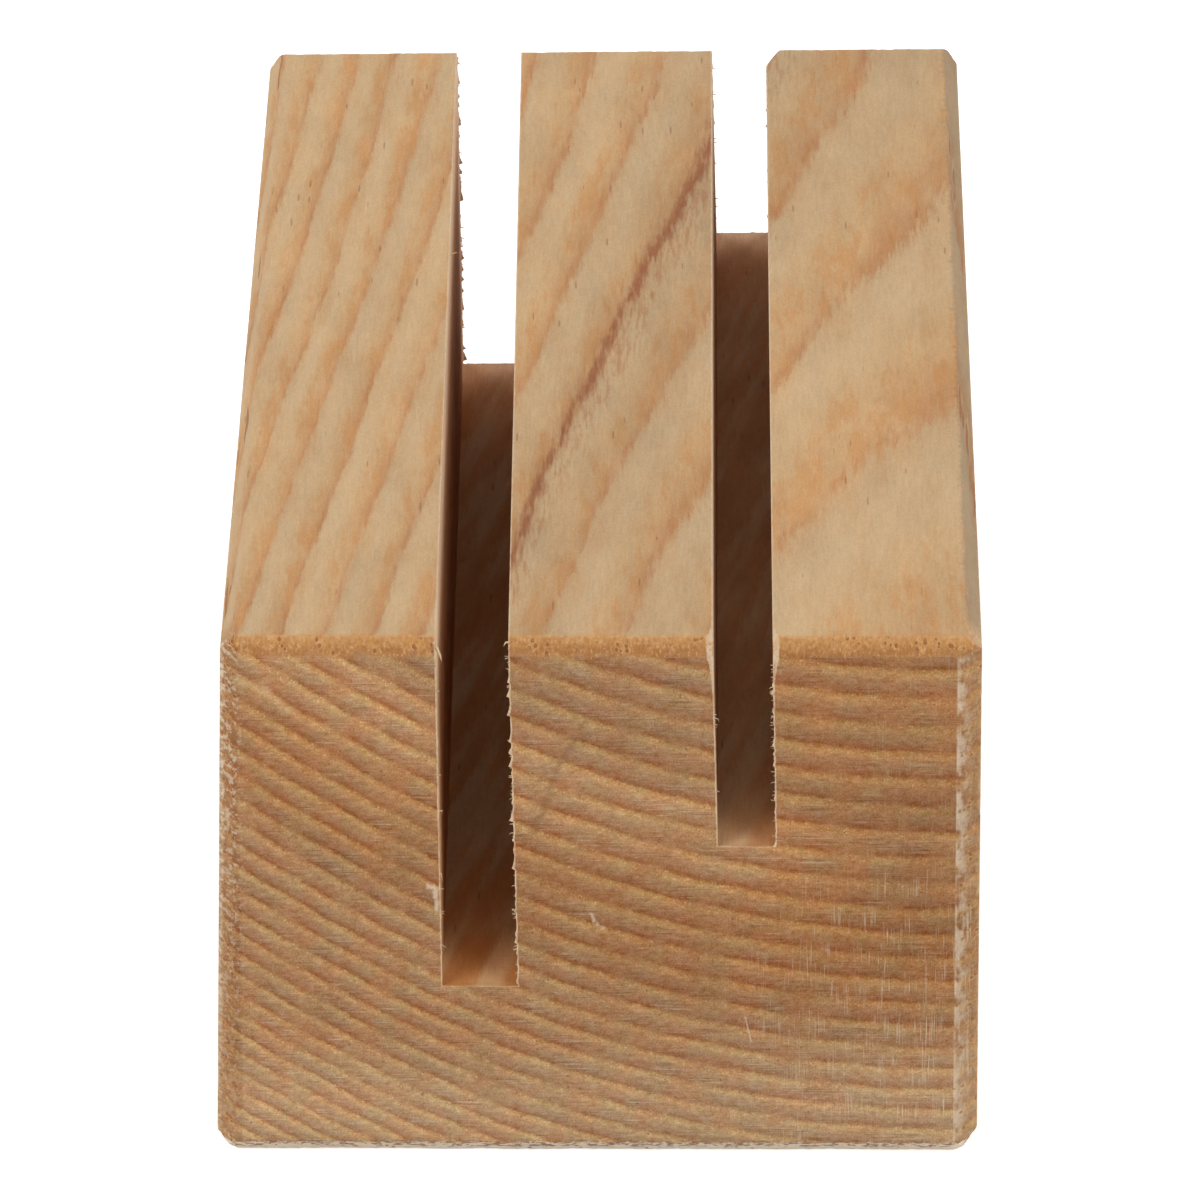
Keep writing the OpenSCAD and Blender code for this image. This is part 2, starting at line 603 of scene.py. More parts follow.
def fuzz_paths():
    """Short bent fibres that stand out from the slots' torn edges."""
    chance = random.Random(FUZZ_SEED)
    paths = []
    for number, at_back, low, high, count in FUZZ:
        side = 1 if number in (SLOTS[0][0], SLOTS[1][0]) else -1
        for _ in range(count):
            z = chance.uniform(low, high)
            away = chance.uniform(*ROOT_AWAY)
            x = face_x(number, TOP - z, LENGTH if at_back else 0)
            y = LENGTH - (RIGHT - x) * math.tan(BACK_SKEW) - away if at_back else away
            length = chance.uniform(*FUZZ_LENGTH)
            bend = length * chance.uniform(*FUZZ_BEND)
            root = (x - side * ROOT_DEPTH, y, z)
            middle = (x + side * length * 0.5, y, z + bend * 0.3)
            tip = (x + side * length * 0.8, y + chance.uniform(*FUZZ_TURN), z + bend)
            width = chance.uniform(*FUZZ_WIDTH)
            paths.append(((root, middle, tip), width, width))
    return paths


def make_fibres(material):
    """Every splinter and loose fibre, as one piece of closed slivers."""
    points, faces = [], []
    for path, width, thickness in [*SPLINTERS, *fuzz_paths()]:
        new_points, new_faces = splinter(path, width, thickness)
        faces.extend([len(points) + corner for corner in face] for face in new_faces)
        points.extend(point + Vector((0, FRONT, 0)) for point in new_points)
    piece = add_mesh("saw_fibres", inside_cad(np.array(points)), faces, material)
    add_attribute(piece, "frayed", np.ones(len(points)))
    return piece


def operator(name):
    return lambda self, other: self.math(name, other)


class Value:
    """A number in a material's node tree. Sums and products of these add Math nodes."""

    def __init__(self, tree, socket):
        self.tree = tree
        self.socket = socket

    def math(self, operation, *others):
        return add_node(self.tree, "Math", dict(enumerate((self, *others))), operation=operation)

    __add__ = __radd__ = operator("ADD")
    __mul__ = __rmul__ = operator("MULTIPLY")
    __sub__ = operator("SUBTRACT")
    __truediv__ = operator("DIVIDE")

    def __neg__(self):
        return self * -1

    def __rsub__(self, other):
        return -self + other


def feed(tree, socket, value):
    """Links a value to a socket, or sets a plain number or colour on it."""
    if isinstance(value, Value):
        tree.links.new(value.socket, socket)
    else:
        socket.default_value = value


def add_node(tree, kind, inputs, output=0, **settings):
    """The output of a new shader node, with its settings made and its inputs fed."""
    node = tree.nodes.new("ShaderNode" + kind)
    for name, setting in settings.items():
        setattr(node, name, setting)
    for name, value in inputs.items():
        feed(tree, node.inputs[name], value)
    return Value(tree, node.outputs[output])


def smoothstep(low, high, value):
    """0 below low, 1 above high, and an eased step between. low may be above high."""
    ends = (low, high, 0.0, 1.0) if low < high else (high, low, 1.0, 0.0)
    inputs = dict(zip(("From Min", "From Max", "To Min", "To Max"), ends), Value=value)
    return add_node(value.tree, "MapRange", inputs, interpolation_type="SMOOTHSTEP")


def between(low, high, soft, value):
    """1 between low and high, fading to 0 outside over a soft edge."""
    return smoothstep(low - soft, low + soft, value) * smoothstep(high + soft, high - soft, value)


def split(value):
    """The three numbers of a vector or a colour."""
    node = add_node(value.tree, "SeparateXYZ", {0: value}).socket.node
    return [Value(value.tree, output) for output in node.outputs]


def srgb(red, green, blue):
    """A colour from 0 to 255, as a screen shows it, in the renderer's linear values."""
    linear = [((c / 255 + 0.055) / 1.055) ** 2.4 for c in (red, green, blue)]
    return (*linear, 1.0)


def ramp(value, stops):
    """A colour that runs through stops of (place, colour)."""
    found = add_node(value.tree, "ValToRGB", {"Fac": value})
    elements = found.socket.node.color_ramp.elements
    while len(elements) < len(stops):
        elements.new(0.5)
    for element, (place, colour) in zip(elements, stops):
        element.position = place
        element.color = srgb(*colour)
    return found


def mix(factor, one, other, blend="MIX"):
    """Two colours mixed. Either may be plain red, green and blue from 0 to 255."""
    one, other = (colour if isinstance(colour, Value) else srgb(*colour) for colour in (one, other))
    inputs = {"Factor": factor, 6: one, 7: other}
    return add_node(factor.tree, "Mix", inputs, output=2, data_type="RGBA", blend_type=blend)


def shade(colour, amount):
    """A colour made lighter or darker by a number around 1."""
    return add_node(colour.tree, "VectorMath", {0: colour, "Scale": amount}, operation="SCALE")


# What a grey speck adds to brown wood so that red, green and blue change alike on screen
GREY_LIFT = (-0.03, 0.076, 0.108)


def speckle(colour, amount):
    """A colour made lighter or darker by about the same step of red, green and blue."""
    inputs = {0: GREY_LIFT, 1: amount, 2: shade(colour, 1 + amount)}
    return add_node(colour.tree, "VectorMath", inputs, operation="MULTIPLY_ADD")


# How the growth rings lie: the height of the ring that passes through a place, in millimetres above
# half the block's height where that ring crosses the middle of the front face. Each value is how much
# a power of the centimetres across, up or back adds to that height
RING_TILT = 3.564
RING_CURVE = -0.978
RING_TURN = 0.018
RING_FLARE = 0.0238
RING_FLARE_TURN = -0.0104
FAN = 0.190
FAN_CURVE = -0.064
FAN_TURN = -0.075
BACK_DROP = -0.599
BACK_DROP_CURVE = -0.0446
BACK_DROP_EASE = 0.0045
BACK_TILT = 0.0915
BACK_TILT_EASE = -0.0064
BACK_CURVE = 0.0237
BACK_TURN = 0.0074
# The rings drop a little just behind the front face
FRONT_DROP = 0.25
FRONT_DROP_START, FRONT_DROP_END = 0.2, 1.4
# Ring number at height 0, rings per millimetre there, and how the rings widen upwards
RING_START = 14.93
RING_RATE = 0.7057
RING_WIDENING = -0.00453
RING_WIDENING_CURVE = 0.000106
CM = 10.0


def ring_height(x, y, z):
    across, back, up = x / CM, y / CM, z / CM
    curve = RING_CURVE + across * (RING_TURN + across * (RING_FLARE + across * RING_FLARE_TURN))
    rise = across * (RING_TILT + across * curve)
    fan = across * up * (FAN + across * FAN_CURVE + up * FAN_TURN)
    drop = back * (BACK_DROP + back * (BACK_DROP_CURVE + back * BACK_DROP_EASE))
    tilt = BACK_TILT + back * BACK_TILT_EASE + across * (BACK_CURVE + across * BACK_TURN)
    front_drop = smoothstep(FRONT_DROP_START, FRONT_DROP_END, y) * FRONT_DROP
    return z + rise + fan + drop + across * back * tilt - front_drop


def ring_number(height):
    widening = RING_WIDENING + height * RING_WIDENING_CURVE
    return RING_START + height * (RING_RATE + height * widening)


def attribute_value(tree, name):
    return add_node(tree, "Attribute", {}, output="Fac", attribute_name=name)


def block_place(tree):
    """Millimetres across, back from the front face, and above half height."""
    x, y, z = (value / MM for value in split(add_node(tree, "TexCoord", {}, output="Object")))
    return x, y - FRONT, z - TOP / 2


def facing_end(tree):
    """1 on end grain, 0 on long grain."""
    normal = split(add_node(tree, "NewGeometry", {}, output="Normal"))
    return smoothstep(0.4, 0.85, normal[ALONG].math("ABSOLUTE"))


# Noise patterns in the wood: size across the grain, along it and upwards, detail and roughness
PATTERNS = {
    "wander": (9, 24, 9, 1, 0.5),
    "ring waves": (3, 14, 3, 1, 0.5),
    "ring edges": (0.24, 2.4, 0.24, 3, 0.65),
    "streak lengths": (0.5, 4, 0.5, 2, 0.5),
    "streak mottle": (0.22, 2.4, 0.22, 3, 0.65),
    "long patches": (2.4, 9, 2.4, 2, 0.5),
    "orange": (0.9, 5, 0.9, 3, 0.65),
    "end patches": (2.4, 9, 2.4, 1, 0.5),
    "level lines": (2.6, 1, 0.09, 2, 0.5),
    "line patches": (2.6, 1, 1, 1, 0.5),
    "hue": (1.8, 9, 1.8, 2, 0.5),
    "saw bands": (1.2, 14, 2.2, 2, 0.5),
    "saw marks": (3, 0.3, 3, 1, 0.5),
    "blotches": (2.2, 8, 2.2, 3, 0.6),
    "end mottle": (0.5, 1, 0.24, 3, 0.7),
    "fibres": (0.13, 1.6, 0.13, 2, 0.6),
    "specks": (0.09, 0.22, 0.09, 1, 0.5),
    "torn": (0.3, 1, 0.3, 2, 0.7),
    "scratches": (0.06, 1, 2.2, 1, 0.5),
    "scratch patches": (1.3, 1, 1.6, 2, 0.5),
    "lumps": (0.7, 1, 1.1, 2, 0.6),
    "crumbs": (0.5, 1, 0.16, 2, 0.65),
    "vessel patches": (1.6, 6, 1.6, 1, 0.5),
    "sanding": (0.16, 0.5, 0.24, 3, 0.7),
    "chamfer waves": (0.9, 3, 0.9, 1, 0.5),
    "breaks": (0.5, 0.9, 0.5, 3, 0.7),
}
# The patterns that follow the wandering fibres
ON_FIBRES = ("ring edges", "streak lengths", "streak mottle", "orange", "saw bands", "fibres")
# Sizes across and along of the cells that make flecks, pores and large vessels
FLECK_CELLS = (0.15, 5)
PORE_CELLS = (0.3, 3)
VESSEL_CELLS = (0.28, 8)
# How far the fibres wander, how far the ring surfaces wave, and how ragged rings and streaks are
WANDER = 0.9
RING_WAVE = 0.35
RING_RAGGED = 0.42
STREAK_RAGGED = 0.34


class Grain:
    """The wood at the shaded point: where it is, and where that lies in its growth ring."""

    def __init__(self, tree):
        self.tree = tree
        self.x, self.y, self.z = block_place(tree)
        self.end = facing_end(tree)
        self.worn = attribute_value(tree, "worn")
        self.frayed = attribute_value(tree, "frayed")
        self.sawn = attribute_value(tree, "sawn")
        self.fibre_x = self.x + (self.pattern("wander") - 0.5) * WANDER
        self.level = ring_height(self.x, self.y, self.z)
        self.smooth_height = self.level + (self.pattern("ring waves") - 0.5) * RING_WAVE
        self.ragged = self.pattern("ring edges") - 0.5
        number = ring_number(self.smooth_height + self.ragged * RING_RAGGED)
        # 0 where a ring's growth began, 1 where it ended
        self.age = (-number).math("FRACT")
        ring = {"W": number.math("FLOOR")}
        self.ring_random = add_node(tree, "TexWhiteNoise", ring, noise_dimensions="1D")

    def texture(self, kind, x, width, length, height, **inputs):
        """A texture of a size in millimetres across, along and up."""
        place = add_node(self.tree, "CombineXYZ", {0: x / width, 1: self.y / length, 2: self.z / height})
        return add_node(self.tree, kind, {"Vector": place, "Scale": 1.0, **inputs})

    def pattern(self, name, x=None):
        """Smooth noise from 0 to 1, in one of the patterns."""
        width, length, height, detail, roughness = PATTERNS[name]
        x = x or (self.fibre_x if name in ON_FIBRES else self.x)
        return self.texture("TexNoise", x, width, length, height, Detail=detail, Roughness=roughness)

    def cells(self, size, length):
        """Distance to the middle of the nearest fibre-like cell, and that cell's random number."""
        gap = self.texture("TexVoronoi", self.fibre_x, size, length, size)
        return gap, split(Value(self.tree, gap.socket.node.outputs["Color"]))[0]


# The dark streak's heights among the rings
STREAK_LOW, STREAK_HIGH = 11.93, 12.14

# Colours from where a ring's growth began, 0, to where it ended, 1, in strong and in faint rings
LONG_COLOURS = (
    (0.0, (192, 152, 109)),
    (0.035, (188, 139, 92)),
    (0.1, (187, 134, 85)),
    (0.18, (193, 144, 96)),
    (0.3, (198, 154, 106)),
    (0.48, (200, 162, 117)),
    (0.66, (201, 169, 128)),
    (0.88, (200, 170, 130)),
    (0.96, (197, 165, 124)),
    (1.0, (192, 152, 109)),
)
FAINT_LONG_COLOURS = (
    (0.0, (197, 160, 117)),
    (0.12, (197, 154, 107)),
    (0.3, (199, 160, 114)),
    (0.66, (201, 168, 126)),
    (1.0, (197, 160, 117)),
)
END_COLOURS = (
    (0.0, (163, 117, 71)),
    (0.08, (178, 134, 84)),
    (0.18, (185, 145, 98)),
    (0.3, (180, 141, 99)),
    (0.42, (171, 132, 95)),
    (0.55, (165, 126, 92)),
    (0.7, (160, 119, 86)),
    (0.82, (155, 109, 74)),
    (0.9, (150, 98, 60)),
    (0.95, (150, 97, 54)),
    (1.0, (157, 107, 63)),
)
FAINT_END_COLOURS = (
    (0.0, (167, 123, 81)),
    (0.2, (175, 133, 91)),
    (0.5, (169, 127, 88)),
    (0.88, (161, 115, 77)),
    (1.0, (167, 123, 81)),
)


def streaks(grain, colour):
    """A red-brown streak along one ring on the long grain, in broken lengths, and fine ones on others."""
    lengths = grain.pattern("streak lengths")
    mottle = grain.pattern("streak mottle")
    height = grain.smooth_height + grain.ragged * STREAK_RAGGED
    beside = between(STREAK_LOW - 0.2, STREAK_HIGH + 0.5, 0.3, height)
    colour = mix(beside * smoothstep(0.44, 0.64, mottle) * 0.6, colour, (180, 118, 70))
    line = between(STREAK_LOW, STREAK_HIGH, 0.14, height) * smoothstep(0.3, 0.5, lengths)
    colour = mix(line * smoothstep(0.24, 0.52, mottle), colour, (146, 82, 48))
    fine = between(0.02, 0.1, 0.04, grain.age) * smoothstep(0.38, 0.58, lengths)
    return mix(fine * smoothstep(0.2, 0.6, mottle) * 0.5, colour, (178, 110, 60))


def long_grain(grain):
    """The colour of a face that runs along the fibres."""
    strong = ramp(grain.age, LONG_COLOURS)
    patches = smoothstep(0.36, 0.64, grain.pattern("long patches"))
    colour = mix(patches * 0.8, ramp(grain.age, FAINT_LONG_COLOURS), strong)
    orange = smoothstep(0.46, 0.62, grain.pattern("orange"))
    early = 0.25 + between(0.05, 0.45, 0.12, grain.age) * 0.75
    colour = mix(orange * early * 0.55, colour, (196, 138, 78))
    return streaks(grain, colour)


def level_lines(grain, colour):
    """Fine level lines that the saw left in the late wood of the end grain."""
    lines = grain.pattern("level lines") - 0.5
    showing = smoothstep(0.38, 0.62, grain.pattern("line patches")) * between(0.3, 0.97, 0.12, grain.age)
    colour = mix(smoothstep(0.02, 0.24, lines) * showing * 0.44, colour, (200, 184, 158))
    return mix(smoothstep(-0.02, -0.2, lines) * showing * 0.54, colour, (112, 76, 52))


def end_grain(grain, fleck):
    """The colour of a face that cuts the fibres."""
    strong = ramp(grain.age, END_COLOURS)
    patches = smoothstep(0.36, 0.56, grain.pattern("end patches"))
    colour = mix(patches, ramp(grain.age, FAINT_END_COLOURS), strong)
    early = smoothstep(0.45, 0.2, grain.age) * smoothstep(0.0, 0.06, grain.age)
    colour = mix((0.1 + early * 0.45) * fleck, colour, (218, 174, 116))
    colour = level_lines(grain, colour)

    # The foot is paler, and the hue changes in patches
    colour = mix(smoothstep(-7, -12, grain.z), colour, (58, 66, 58), "ADD")
    hue = grain.pattern("hue")
    colour = mix(smoothstep(0.56, 0.4, hue) * 0.5, colour, (255, 236, 224), "MULTIPLY")
    colour = mix(smoothstep(0.44, 0.6, hue) * 0.5, colour, (246, 255, 250), "MULTIPLY")

    # The middle and the right are more rust-coloured
    right = smoothstep(6, 11, grain.x) * smoothstep(-7, -2, grain.z)
    rust = between(-4, 3, 1.5, grain.level) * 0.5 + right * 0.6
    return mix(rust, colour, (255, 237, 212), "MULTIPLY")


# Runs of lighter or darker rings: from and to what ring height, how wide their soft edges are, and how
# much lighter they are
FAR = 60
END_BANDS = ((-FAR, -15, 4, 0.12), (-5, 2, 2, -0.1), (4.2, 7.2, 1, 0.08), (8.5, FAR, 1, -0.08))
LONG_BANDS = ((10.9, 14, 1.1, -0.12), (16.75, FAR, 1.25, 0.04))


def banded(grain, bands):
    return sum(between(low, high, soft, grain.level) * amount for low, high, soft, amount in bands)


def end_tone(grain):
    """How much lighter or darker than usual the end grain is, in broad bands."""
    low = smoothstep(-7, -12.5, grain.z) * 0.04
    left = smoothstep(-8, -11, grain.x) * smoothstep(2, 6, grain.z) * 0.09
    right = smoothstep(9, 17, grain.x) * between(-3, 6, 3, grain.z) * 0.22
    return banded(grain, END_BANDS) + low + left - right


def long_tone(grain):
    """How much lighter or darker than usual the long grain is, in broad bands."""
    middle = between(1.5, 7, 1.5, grain.x) * (0.02 + smoothstep(34, 6, grain.y) * 0.1)
    return banded(grain, LONG_BANDS) - middle - smoothstep(13, 17, grain.x) * 0.05


SAWN_COLOURS = (
    (0.32, (206, 134, 70)),
    (0.5, (213, 152, 94)),
    (0.66, (222, 180, 134)),
)
# Orange bands on the slots' floors near the front: from and to how far across, and their lean per
# millimetre back
FLOOR_BANDS = ((-8.4, -6.3), (-4.9, -3.4), (7.9, 10.2))
FLOOR_BAND_LEAN = 0.2


def sawn_grain_and_light(grain, fibre):
    """The colour of the slots' walls and floors: bands of orange and of pale wood along the fibres, with
    painted light.
    """
    across = grain.fibre_x - grain.y * FLOOR_BAND_LEAN + (fibre - 0.5) * 0.6
    colour = ramp(grain.pattern("saw bands", across), SAWN_COLOURS)
    orange = sum(between(low, high, 0.3, across) for low, high in FLOOR_BANDS)
    # Painted light: paler near the slots' open front ends, with orange bands in that part
    near = smoothstep(9, 5, grain.y)
    colour = mix(near * 0.7, colour, (222, 186, 140))
    colour = mix(near * orange * 0.8, colour, (200, 132, 64))
    # Painted sheen: greyer near the back end, where light from behind glances along the slots
    colour = mix(smoothstep(76, 85, grain.y) * 0.5, colour, (172, 148, 130))
    # Painted light: paler towards the top, where the slots open, on sawn wood that is paler anyway
    return mix(smoothstep(-2, 15, grain.z) * 0.65, colour, (228, 210, 188))


def wood_colour(grain, fleck, fibre, speck, pore):
    """The colour of bare wood, with the painted light in the slots, before the marks on its surface."""
    colour = mix(grain.end, long_grain(grain), end_grain(grain, fleck))
    colour = mix(grain.sawn * 0.85, colour, sawn_grain_and_light(grain, fibre))
    blotch = (grain.pattern("blotches") - 0.5) * 0.34
    tone = 1 + end_tone(grain) * grain.end + long_tone(grain) * (1 - grain.end) + blotch
    colour = shade(colour, tone + (grain.ring_random - 0.5) * 0.06 + (fibre - 0.5) * 0.15)
    mottle = (grain.pattern("end mottle") - 0.5) * grain.end * 1.05
    grey = (speck - 0.5) * (0.26 + grain.end * 0.46) + (fibre - 0.5) * 0.12
    colour = speckle(colour, grey + mottle)

    # Small dark vessels: dots on end grain, thin dashes on long grain
    return mix(pore * (0.45 + grain.end * 0.15), colour, (124, 78, 46))


def segment_gap(grain, start, end):
    """Distance on the front face to a straight line between two places, in millimetres."""
    dx, dz = end[0] - start[0], end[1] - start[1]
    from_x, from_z = grain.x - start[0], grain.z - start[1]
    share = (from_x * dx + from_z * dz) / (dx * dx + dz * dz)
    share = share.math("MINIMUM", 1.0).math("MAXIMUM", 0.0)
    gap_x, gap_z = from_x - share * dx, from_z - share * dz
    return (gap_x * gap_x + gap_z * gap_z).math("SQRT")


# Marks on the front face: both ends of each, across and up from the middle, its half width, strength
# and colour
BRUISE = (218, 198, 172)
WEAR = (210, 180, 138)
SMUDGE = (122, 84, 62)
FRONT_MARKS = (
    ((-18.8, 12.8), (-17.4, 12.3), 0.5, 0.3, WEAR),
    ((-17.4, 12.3), (-16.2, 11.1), 0.45, 0.26, WEAR),
    ((-0.25, -0.75), (-0.1, -1.2), 0.14, 0.6, BRUISE),
    ((0.0, -1.3), (0.4, -1.6), 0.18, 0.45, BRUISE),
    ((7.9, -6.8), (8.2, -8.2), 0.07, 0.5, BRUISE),
    ((-8.85, 0.85), (-8.5, 0.7), 0.25, 0.7, BRUISE),
    ((-8.5, 0.6), (-8.4, -0.5), 0.2, 0.7, BRUISE),
    ((-8.62, 14.7), (-8.5, 14.3), 0.12, 0.9, SMUDGE),
    ((17.45, -3.7), (17.48, -6.1), 0.08, 0.25, BRUISE),
    ((-1.1, 9.4), (-1.9, 8.1), 0.3, 0.3, SMUDGE),
    ((-1.9, 8.1), (-3.2, 4.2), 0.35, 0.26, SMUDGE),
    ((-9.3, -11.4), (-9.25, -11.35), 0.12, 0.7, SMUDGE),
    ((-8.6, -7.4), (-8.3, -7.7), 0.4, 0.25, SMUDGE),
)


def mark_front(grain, colour, speck):
    """Scratches, smudges and bruised edges on the front face and chamfers, and painted floor light on the
    base.
    """
    front = smoothstep(1.5, 1.2, grain.y)
    torn = grain.pattern("torn")
    for start, end, width, strength, paint in FRONT_MARKS:
        gap = segment_gap(grain, start, end) + (torn - 0.5) * width * 2.4
        colour = mix(smoothstep(width, 0, gap) * front * strength, colour, paint)

    # Fine upright scratches, mostly on the right
    region = smoothstep(4, 13, grain.x) * smoothstep(4, -4, grain.z) + smoothstep(10, 17, grain.x) * 0.3
    region = region * smoothstep(0.42, 0.62, grain.pattern("scratch patches"))
    scratches = smoothstep(0.52, 0.72, grain.pattern("scratches")) * region * 0.5
    colour = mix(scratches * front, colour, BRUISE)
    colour = mix(bruised_right(grain, speck, torn) * front, colour, BRUISE)
    colour = mix(scuffed_left(grain, torn) * front, colour, BRUISE)
    return floor_lit_base(grain, colour, front, torn)


def bruised_right(grain, speck, torn):
    """How bruised the strip beside the right-hand upright chamfer is."""
    lumps = grain.pattern("lumps")
    strip = smoothstep(18.93, 19.05, grain.x) * smoothstep(20.0, 19.1, grain.x + (torn - 0.5) * 0.9)
    strip = strip * smoothstep(0.38, 0.6, lumps) * (0.42 + speck * 0.5)
    rim = between(18.97, 19.04, 0.05, grain.x) * smoothstep(0.3, 0.5, lumps) * 0.25
    return (strip + rim) * smoothstep(14.3, 14.0, grain.z)


def scuffed_left(grain, torn):
    """How scuffed the left-hand upright chamfer and its outer border are."""
    scuff = smoothstep(-18.3, -19.2, grain.x) * smoothstep(0.5, 0.64, torn)
    from_left = grain.x + (RIGHT - SIDE_OFFSET / 2) - grain.z * (SIDE_OFFSET / TOP)
    edge = smoothstep(0.34, 0.1, from_left) * smoothstep(0.36, 0.56, torn) * 0.5
    return scuff * (0.25 + smoothstep(-12, 10, grain.z) * 0.4) + edge


def floor_lit_base(grain, colour, front, torn):
    """The front's base chamfer: pale broken wood and painted light from the floor, with dark pits along its
    upper edge.
    """
    height = grain.z + TOP / 2 + (torn - 0.5) * 0.5
    # Painted light: the downward base chamfer is made pale as if lit by the white floor, over broken wood
    pale = smoothstep(0.85, 0.6, height) * front
    colour = mix(pale * 0.85, colour, (246, 232, 212))
    pits = between(0.3, 0.85, 0.15, height) * smoothstep(0.5, 0.58, grain.pattern("crumbs")) * front
    return mix(pits * 0.75, colour, (112, 74, 44))


def open_vessels(grain):
    """The large early-wood vessels, which stay open only on the chamfers: their mouths and their rims."""
    gap, chance = grain.cells(*VESSEL_CELLS)
    early = between(0.0, 0.34, 0.04, grain.age) * smoothstep(0.38, 0.46, grain.pattern("vessel patches"))
    open_here = early * smoothstep(0.3, 0.35, chance) * grain.worn
    hole = smoothstep(0.4, 0.3, gap) * open_here
    rim = smoothstep(0.62, 0.45, gap) * open_here - hole
    return hole, rim.math("MAXIMUM", 0.0)


def sand_chamfers(grain, colour):
    """Orange, roughly sanded wood on the front's chamfers, and painted shade on those of the right side."""
    front = smoothstep(4, 1.5, grain.y)
    sanding = grain.pattern("sanding")
    ragged_z = grain.z + (sanding - 0.5) * 0.9 + (grain.pattern("chamfer waves") - 0.5) * 0.6
    upper = smoothstep(14.1, 14.4, ragged_z) * smoothstep(1.1, 0.8, grain.y)
    chamfer = (grain.worn * front).math("MAXIMUM", upper)
    colour = mix(chamfer * 0.1 + upper * 0.5, colour, (212, 150, 84))
    lower = upper * smoothstep(14.9, 14.2, ragged_z)
    colour = mix(lower * 0.6, colour, (150, 92, 44))
    left = smoothstep(-18.7, -19.0, grain.x) * front
    colour = mix(left * 0.8, colour, (229, 214, 196), "MULTIPLY")
    # Painted shade: the right side's chamfers behind the front are darkened, as if less light came from the
    # right
    right = smoothstep(18.9, 19.5, grain.x) * grain.worn * (1 - front)
    colour = shade(colour, 1 - right * 0.3)
    colour = mix(chamfer * smoothstep(0.48, 0.34, sanding) * 0.3, colour, (150, 88, 42))
    return mix(chamfer * smoothstep(0.5, 0.72, sanding) * 0.4, colour, (234, 192, 138))


WOOD_ROUGHNESS = 0.58
WOOD_GLOSS = 0.25
BUMP_STRENGTH = 0.5
BUMP_HEIGHT = 0.04


def ash_wood():
    material = bpy.data.materials.new("ash_wood")
    material.use_nodes = True
    tree = material.node_tree
    tree.nodes.clear()
    grain = Grain(tree)
    gap, chance = grain.cells(*FLECK_CELLS)
    fleck = smoothstep(0.6, 0.2, gap) * smoothstep(0.2, 0.9, chance)
    gap, chance = grain.cells(*PORE_CELLS)
    rare = 0.07 + smoothstep(0.35, 0.02, grain.age) * 0.08
    pore = smoothstep(0.24, 0.14, gap) * smoothstep(0.0, 0.02, rare - chance)
    fibre = grain.pattern("fibres")
    speck = grain.pattern("specks")
    hole, rim = open_vessels(grain)

    colour = wood_colour(grain, fleck, fibre, speck, pore)
    colour = sand_chamfers(grain, colour)
    colour = mark_front(grain, colour, speck)
    colour = mix(rim * 0.2, colour, (230, 190, 140))
    colour = mix(hole * 0.65, colour, (148, 88, 44))
    broken = smoothstep(0.3, 0.62, grain.pattern("breaks"))
    frayed = smoothstep(0.3, 0.95, grain.frayed) * (0.3 + broken * 0.5)
    colour = mix(frayed, colour, (230, 204, 172))

    relief = fibre * 0.4 + speck * 0.4 + fleck * grain.end * 0.3 - pore - hole * 4
    relief = relief + grain.pattern("saw marks") * grain.sawn
    bump = {"Strength": BUMP_STRENGTH, "Distance": BUMP_HEIGHT * MM, "Height": relief}
    shader = add_node(tree, "BsdfPrincipled", {
        "Base Color": colour,
        "Roughness": WOOD_ROUGHNESS + fibre * 0.16 + grain.sawn * 0.15,
        "Specular IOR Level": WOOD_GLOSS,
        "Normal": add_node(tree, "Bump", bump),
    })
    feed(tree, tree.nodes.new("ShaderNodeOutputMaterial").inputs["Surface"], shader)
    return material


FLOOR_RADIUS = 3000.0
FLOOR_SIDES = 64
FLOOR_LOOK = {"Base Color": (0.86, 0.86, 0.86, 1), "Roughness": 0.9, "Specular IOR Level": 0.1}
# Light that the camera alone sees on the floor, so that it shows white
FLOOR_GLOW = 0.5
# How far the floor lies below the block
FLOOR_GAP = 0.02


def make_floor():
    """A wide pale floor. It shows white to the camera but for the block's soft shadow."""
    angles = [2 * math.pi * i / FLOOR_SIDES for i in range(FLOOR_SIDES)]
    ring = np.array([(math.cos(a) * FLOOR_RADIUS, math.sin(a) * FLOOR_RADIUS, -FLOOR_GAP) for a in angles])
    material = bpy.data.materials.new("pale_floor")
    material.use_nodes = True
    tree = material.node_tree
    shader = tree.nodes["Principled BSDF"]
    for name, value in FLOOR_LOOK.items():
        feed(tree, shader.inputs[name], value)
    glow = add_node(tree, "Emission", {"Strength": camera_ray(tree) * FLOOR_GLOW})
    both = add_node(tree, "AddShader", {0: Value(tree, shader.outputs[0]), 1: glow})
    feed(tree, tree.nodes["Material Output"].inputs["Surface"], both)
    floor = add_mesh("floor", ring, [list(range(FLOOR_SIDES))], material)


def camera_ray(tree):
    """1 for what the camera sees directly, 0 for light and reflections."""
    return add_node(tree, "LightPath", {}, output="Is Camera Ray")


WORLD_LIGHT = 0.33


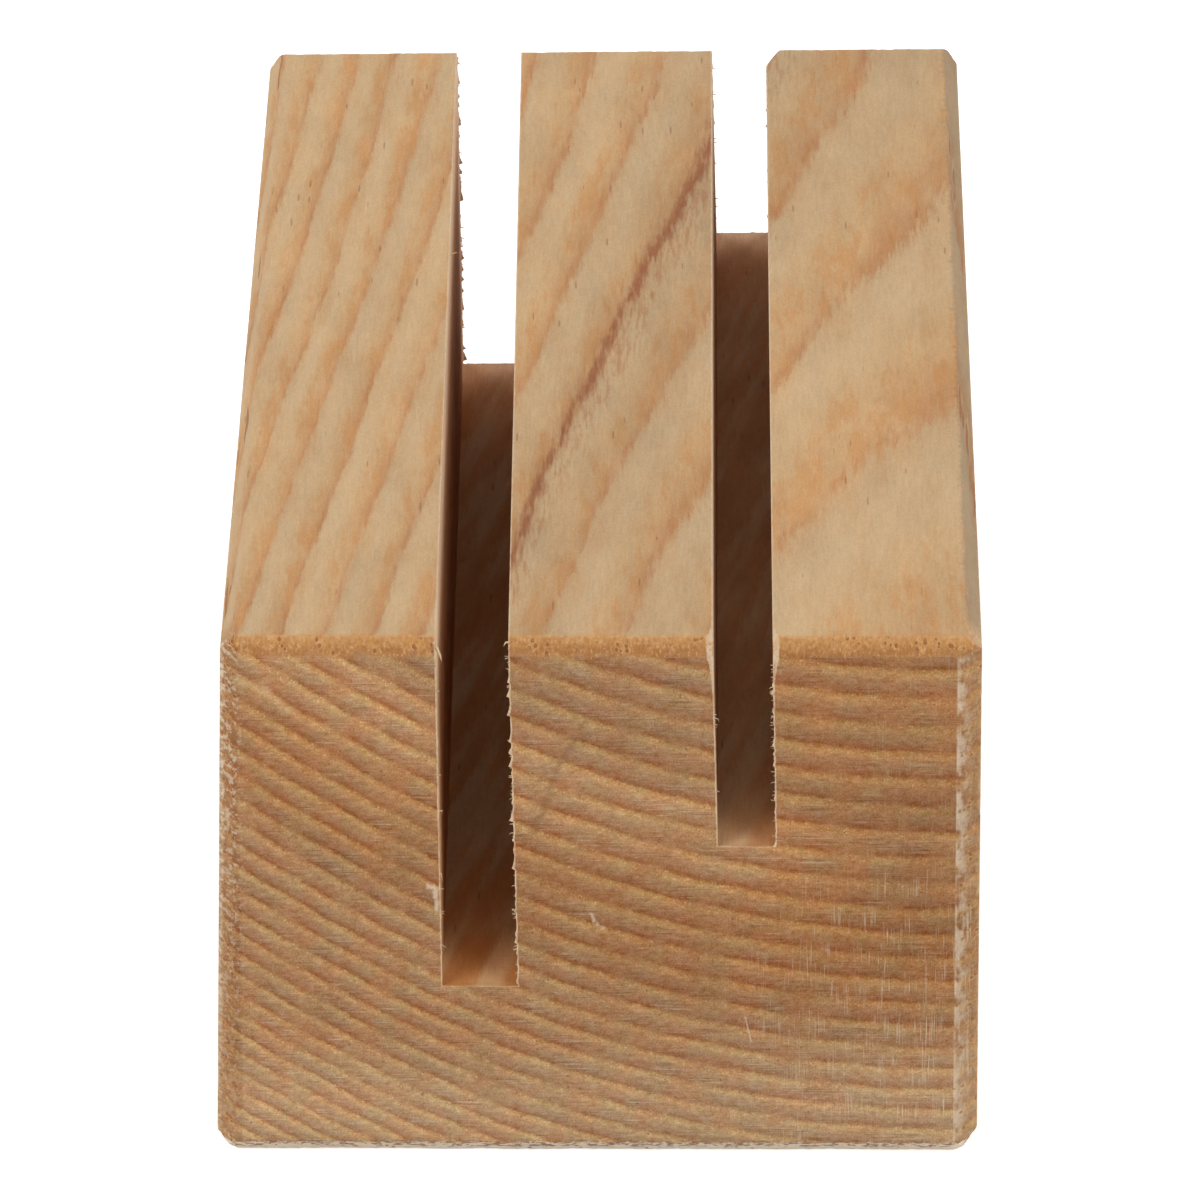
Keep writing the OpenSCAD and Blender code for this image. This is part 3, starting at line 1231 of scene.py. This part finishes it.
def make_world():
    """Even white light from all round. The camera sees plain white there."""
    world = bpy.data.worlds.new("studio")
    bpy.context.scene.world = world
    world.use_nodes = True
    tree = world.node_tree
    background = tree.nodes["Background"]
    background.inputs["Color"].default_value = (1, 1, 1, 1)
    feed(tree, background.inputs["Strength"], WORLD_LIGHT + camera_ray(tree) * (1 - WORLD_LIGHT))


# Soft lamps: name, place, diameter and power. None stands over the slots, which stay dark inside
LAMPS = (
    ("front_left_lamp", (-600, -600, 500), 600, 3.75),
    ("front_right_lamp", (600, -600, 500), 600, 3.05),
    ("back_left_lamp", (-600, 600, 500), 600, 3.3),
    ("back_right_lamp", (600, 600, 500), 600, 3.8),
    ("back_low_lamp", (0, 900, 110), 400, 0.3),
)
LAMP_TARGET = Vector((0, 0, 15))


def make_lights():
    for name, place, size, power in LAMPS:
        lamp = bpy.data.lights.new(name, "AREA")
        lamp.shape = "DISK"
        lamp.size = size * MM
        lamp.energy = power
        holder = add_object(name, lamp)
        holder.location = Vector(place) * MM
        holder.rotation_mode = "QUATERNION"
        holder.rotation_quaternion = (LAMP_TARGET - Vector(place)).to_track_quat("-Z", "Y")


# The camera, from a fit to the block's outline: a long lens, far away. Its angles are in degrees
CAMERA_PLACE = Vector((6.376, -661.114, 309.499))
CAMERA_DOWN = 24.124
CAMERA_TURN = 0.569
CAMERA_ROLL = -0.128
CAMERA_LENS = 388.76
CAMERA_SENSOR = 36.0
CAMERA_NEAREST = 50
CAMERA_FARTHEST = 10000


def make_camera():
    data = bpy.data.cameras.new("camera")
    data.lens = CAMERA_LENS
    data.sensor_width = CAMERA_SENSOR
    data.clip_start = CAMERA_NEAREST * MM
    data.clip_end = CAMERA_FARTHEST * MM
    camera = add_object("camera", data)
    tilt = Euler((math.radians(90 - CAMERA_DOWN), 0, math.radians(CAMERA_TURN))).to_matrix()
    roll = Matrix.Rotation(math.radians(CAMERA_ROLL), 3, "Z")
    camera.matrix_world = Matrix.Translation(CAMERA_PLACE * MM) @ (tilt @ roll).to_4x4()
    bpy.context.scene.camera = camera


wood = ash_wood()
block = make_block(wood)
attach(block, "root")
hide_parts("block")
fibres = make_fibres(wood)
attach(fibres, "root")

make_floor()
make_world()
make_lights()
make_camera()
bpy.context.scene.view_settings.view_transform = "Standard"
